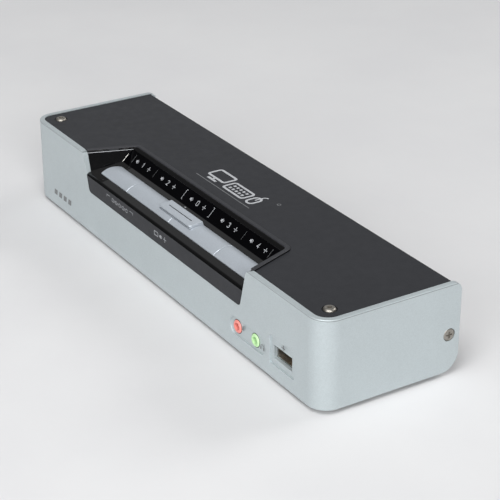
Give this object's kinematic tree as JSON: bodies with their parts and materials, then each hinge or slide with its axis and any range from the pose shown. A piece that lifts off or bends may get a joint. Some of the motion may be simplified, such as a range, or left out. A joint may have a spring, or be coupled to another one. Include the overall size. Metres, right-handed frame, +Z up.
{
  "type": "KVM switch",
  "caption": "Low wide desktop KVM switch in a silver and charcoal case, with a row of port keys in a glossy black channel and sockets on its front and back.",
  "frame": {"origin": "on the table, under the middle of the case, at the lowest point of the rubber feet", "axes": "+X runs right as seen from the front, +Y runs from the front face to the back, +Z is up"},
  "size_m": [0.27, 0.0726, 0.0454],
  "materials": {
    "silver_paint": "satin silver paint with a faint metallic grain",
    "charcoal_plastic": "fine matte grain",
    "gloss_black": "polished",
    "window_smoke": "polished, nearly opaque smoke",
    "key_silver": "satin silver paint on plastic keys",
    "steel_plate": "plain plated sheet",
    "socket_metal": "bright nickel plate",
    "black_screw": "black oxide",
    "black_plastic": "fine matte",
    "white_plastic": "moulded",
    "clear_plastic": "clear acrylic",
    "board_green": "solder mask",
    "mic_pink": "moulded",
    "phone_green": "moulded",
    "tongue_tan": "moulded",
    "foot_rubber": "matte",
    "nickel_screw": "dull nickel plate, lightly worn",
    "black_powder_coat": "black powder coat, fine orange peel",
    "white_ink": "pad-printed pale legends on the display window and the deck",
    "silver_ink": "pad-printed silver graphic on the cover",
    "grey_ink": "pad-printed grey marks on the silver shell",
    "gold_contact": "thin gold plate on socket contacts"
  },
  "bodies": {
    "root": {"base_tray": "black_powder_coat", "beeper": "black_plastic", "board_link": "black_plastic", "board_pillars": "black_plastic", "board_screws": "black_screw", "board_standoffs": "steel_plate", "bottom_screws": "black_screw", "capacitors": "black_plastic", "collar": "charcoal_plastic", "console_usb_shells": "socket_metal", "console_usb_tongues": "tongue_tan", "controller_chip": "black_plastic", "cover_posts": "steel_plate", "cover_screws": "nickel_screw", "crystal": "socket_metal", "display_window": "window_smoke", "dvi_bodies": "white_plastic", "dvi_jackscrews": "steel_plate", "dvi_shells": "socket_metal", "front_headphone_jack": "phone_green", "front_lip": "charcoal_plastic", "front_mic_jack": "mic_pink", "front_shell": "silver_paint", "front_usb_shell": "socket_metal", "front_usb_tongue": "tongue_tan", "key_board": "board_green", "key_board_screws": "black_screw", "key_deck": "gloss_black", "key_switches": "black_plastic", "led_board": "board_green", "light_pipes": "clear_plastic", "main_board": "board_green", "port_board": "board_green", "power_jack": "black_plastic", "power_pin": "socket_metal", "rear_mic_jacks": "mic_pink", "rear_panel": "black_powder_coat", "rear_speaker_jacks": "phone_green", "rubber_feet": "foot_rubber", "side_screws": "nickel_screw", "switch_chips": "black_plastic", "top_cover": "charcoal_plastic", "usb_b_blocks": "white_plastic", "usb_b_shells": "socket_metal", "window_leds": "white_plastic"},
    "key_1": {"key_1": "key_silver", "key_1_plunger": "white_plastic"},
    "key_2": {"key_2": "key_silver", "key_2_plunger": "white_plastic"},
    "key_3": {"key_3": "key_silver", "key_3_plunger": "white_plastic"},
    "key_4": {"key_4": "key_silver", "key_4_plunger": "white_plastic"},
    "mode_key": {"mode_key": "key_silver", "mode_key_plunger": "white_plastic"}
  },
  "joints": [
    {"name": "key_1_press", "type": "slide", "parent": "root", "child": "key_1", "axis": [0, 0.2198, -0.9755], "range_m": [0, 0.0008], "stiffness_N_per_m": 400},
    {"name": "key_2_press", "type": "slide", "parent": "root", "child": "key_2", "axis": [0, 0.2198, -0.9755], "range_m": [0, 0.0008], "stiffness_N_per_m": 400},
    {"name": "key_3_press", "type": "slide", "parent": "root", "child": "key_3", "axis": [0, 0.2198, -0.9755], "range_m": [0, 0.0008], "stiffness_N_per_m": 400},
    {"name": "key_4_press", "type": "slide", "parent": "root", "child": "key_4", "axis": [0, 0.2198, -0.9755], "range_m": [0, 0.0008], "stiffness_N_per_m": 400},
    {"name": "mode_key_press", "type": "slide", "parent": "root", "child": "mode_key", "axis": [0, 0.2198, -0.9755], "range_m": [0, 0.0008], "stiffness_N_per_m": 400}
  ]
}
